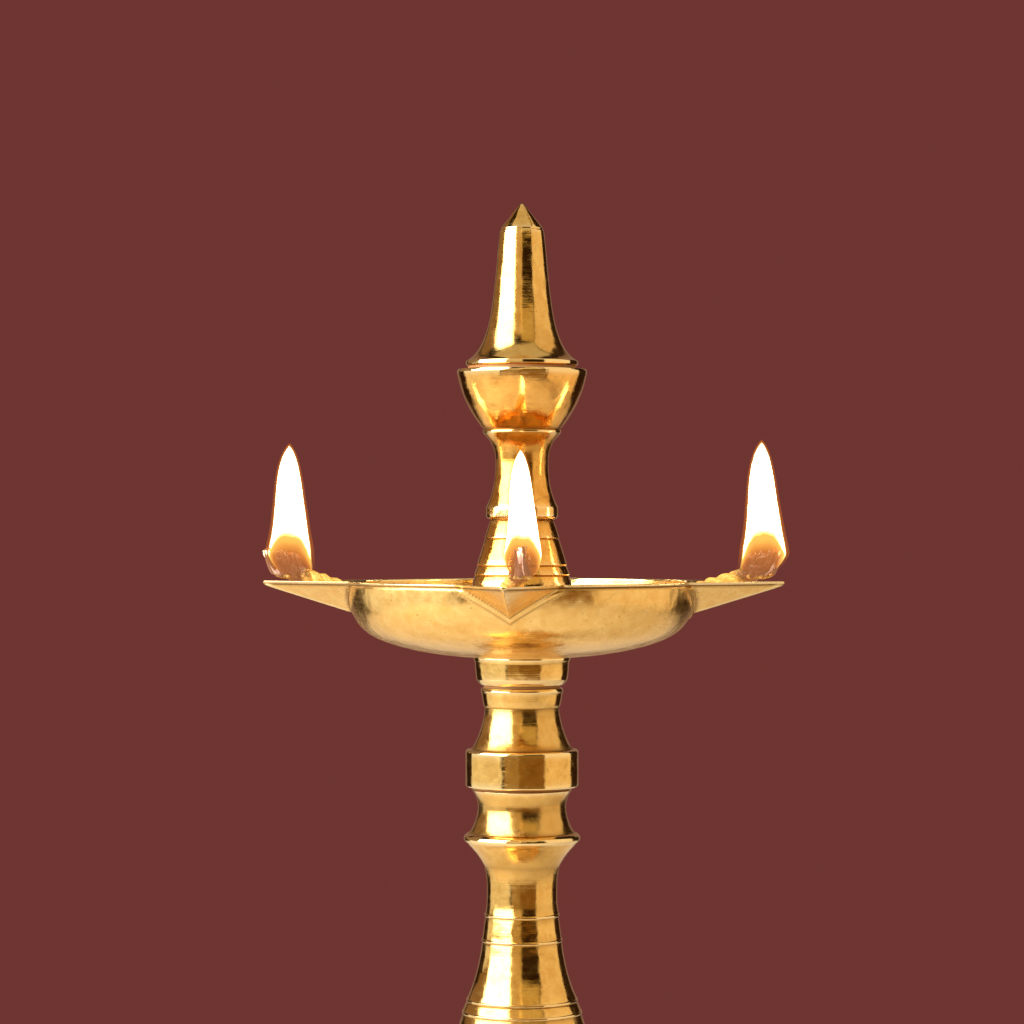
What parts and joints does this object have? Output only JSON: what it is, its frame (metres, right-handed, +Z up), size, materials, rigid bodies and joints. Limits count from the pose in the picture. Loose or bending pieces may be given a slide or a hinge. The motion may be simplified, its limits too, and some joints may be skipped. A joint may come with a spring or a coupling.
{
  "type": "standing oil lamp",
  "caption": "Tall turned brass oil lamp that unscrews into sections, with a round oil bowl, pointed spouts with cotton wicks, and a slender finial over a pot-shaped cup.",
  "frame": {"origin": "centre of the circle on which the lamp's foot stands", "axes": "+Z up along the lamp's axis; the spouts point along +X, +Y, -X and -Y"},
  "size_m": [0.1412, 0.1412, 0.3805],
  "materials": {
    "brass_turned": "polished, with fine turning marks and darker grooves",
    "brass_bowl": "soft polish, cast and hand-filed, slightly mottled",
    "brass_base": "polished outside, dull cast surface inside",
    "brass_stud": "dull, threaded",
    "leather_washer": "dark, oiled",
    "cotton_wick": "twisted cotton soaked in oil, charred at the lit end"
  },
  "bodies": {
    "base": {"base": "brass_base", "base_stud": "brass_stud"},
    "lower_carrier": {"base_washer": "leather_washer"},
    "stem_lower": {"stem_lower": "brass_turned", "lower_stud": "brass_stud"},
    "middle_carrier": {"lower_washer": "leather_washer"},
    "stem_middle": {"stem_middle": "brass_turned", "middle_stud": "brass_stud"},
    "upper_carrier": {"middle_washer": "leather_washer"},
    "stem_upper": {"stem_upper": "brass_turned", "top_stud": "brass_stud", "bowl_washer": "leather_washer"},
    "bowl": {"bowl": "brass_bowl", "bowl_collar": "brass_turned"},
    "finial_carrier": {"finial_washer": "leather_washer"},
    "finial_column": {"finial_column": "brass_turned", "spire_stud": "brass_stud"},
    "spire_carrier": {"spire_washer": "leather_washer"},
    "finial_spire": {"finial_spire": "brass_turned"},
    "wick_right": {"wick_right": "cotton_wick"},
    "wick_back": {"wick_back": "cotton_wick"},
    "wick_left": {"wick_left": "cotton_wick"},
    "wick_front": {"wick_front": "cotton_wick"}
  },
  "joints": [
    {"name": "lower_rise", "type": "slide", "parent": "base", "child": "lower_carrier", "axis": [0, 0, 1], "range_m": [0, 0.012]},
    {"name": "lower_screw", "type": "hinge", "parent": "lower_carrier", "child": "stem_lower", "pos_m": [0, 0, 0.1], "axis": [0, 0, 1], "range_deg": [0, 2880]},
    {"name": "middle_rise", "type": "slide", "parent": "stem_lower", "child": "middle_carrier", "axis": [0, 0, 1], "range_m": [0, 0.012]},
    {"name": "middle_screw", "type": "hinge", "parent": "middle_carrier", "child": "stem_middle", "pos_m": [0, 0, 0.1], "axis": [0, 0, 1], "range_deg": [0, 2880]},
    {"name": "upper_rise", "type": "slide", "parent": "stem_middle", "child": "upper_carrier", "axis": [0, 0, 1], "range_m": [0, 0.012]},
    {"name": "upper_screw", "type": "hinge", "parent": "upper_carrier", "child": "stem_upper", "pos_m": [0, 0, 0.1], "axis": [0, 0, 1], "range_deg": [0, 2880]},
    {"name": "finial_rise", "type": "slide", "parent": "stem_upper", "child": "finial_carrier", "axis": [0, 0, 1], "range_m": [0, 0.012]},
    {"name": "finial_screw", "type": "hinge", "parent": "finial_carrier", "child": "finial_column", "pos_m": [0, 0, 0.1], "axis": [0, 0, 1], "range_deg": [0, 2880]},
    {"name": "spire_rise", "type": "slide", "parent": "finial_column", "child": "spire_carrier", "axis": [0, 0, 1], "range_m": [0, 0.01]},
    {"name": "spire_screw", "type": "hinge", "parent": "spire_carrier", "child": "finial_spire", "pos_m": [0, 0, 0.1], "axis": [0, 0, 1], "range_deg": [0, 2880]},
    {"name": "bowl_turn", "type": "hinge", "parent": "stem_upper", "child": "bowl", "pos_m": [0, 0, 0.26], "axis": [0, 0, 1], "continuous": true},
    {"name": "wick_right_slide", "type": "slide", "parent": "bowl", "child": "wick_right", "axis": [0.9489, 0, 0.3156], "range_m": [-0.005, 0.006]},
    {"name": "wick_back_slide", "type": "slide", "parent": "bowl", "child": "wick_back", "axis": [0, 0.9489, 0.3156], "range_m": [-0.005, 0.006]},
    {"name": "wick_left_slide", "type": "slide", "parent": "bowl", "child": "wick_left", "axis": [-0.9489, 0, 0.3156], "range_m": [-0.005, 0.006]},
    {"name": "wick_front_slide", "type": "slide", "parent": "bowl", "child": "wick_front", "axis": [0, -0.9489, 0.3156], "range_m": [-0.005, 0.006]}
  ],
  "couplings": [
    {"joint": "lower_screw", "follows": "lower_rise", "rad_per_m": 4188.8},
    {"joint": "middle_screw", "follows": "middle_rise", "rad_per_m": 4188.8},
    {"joint": "upper_screw", "follows": "upper_rise", "rad_per_m": 4188.8},
    {"joint": "finial_screw", "follows": "finial_rise", "rad_per_m": 4188.8},
    {"joint": "spire_screw", "follows": "spire_rise", "rad_per_m": 5026.5}
  ]
}
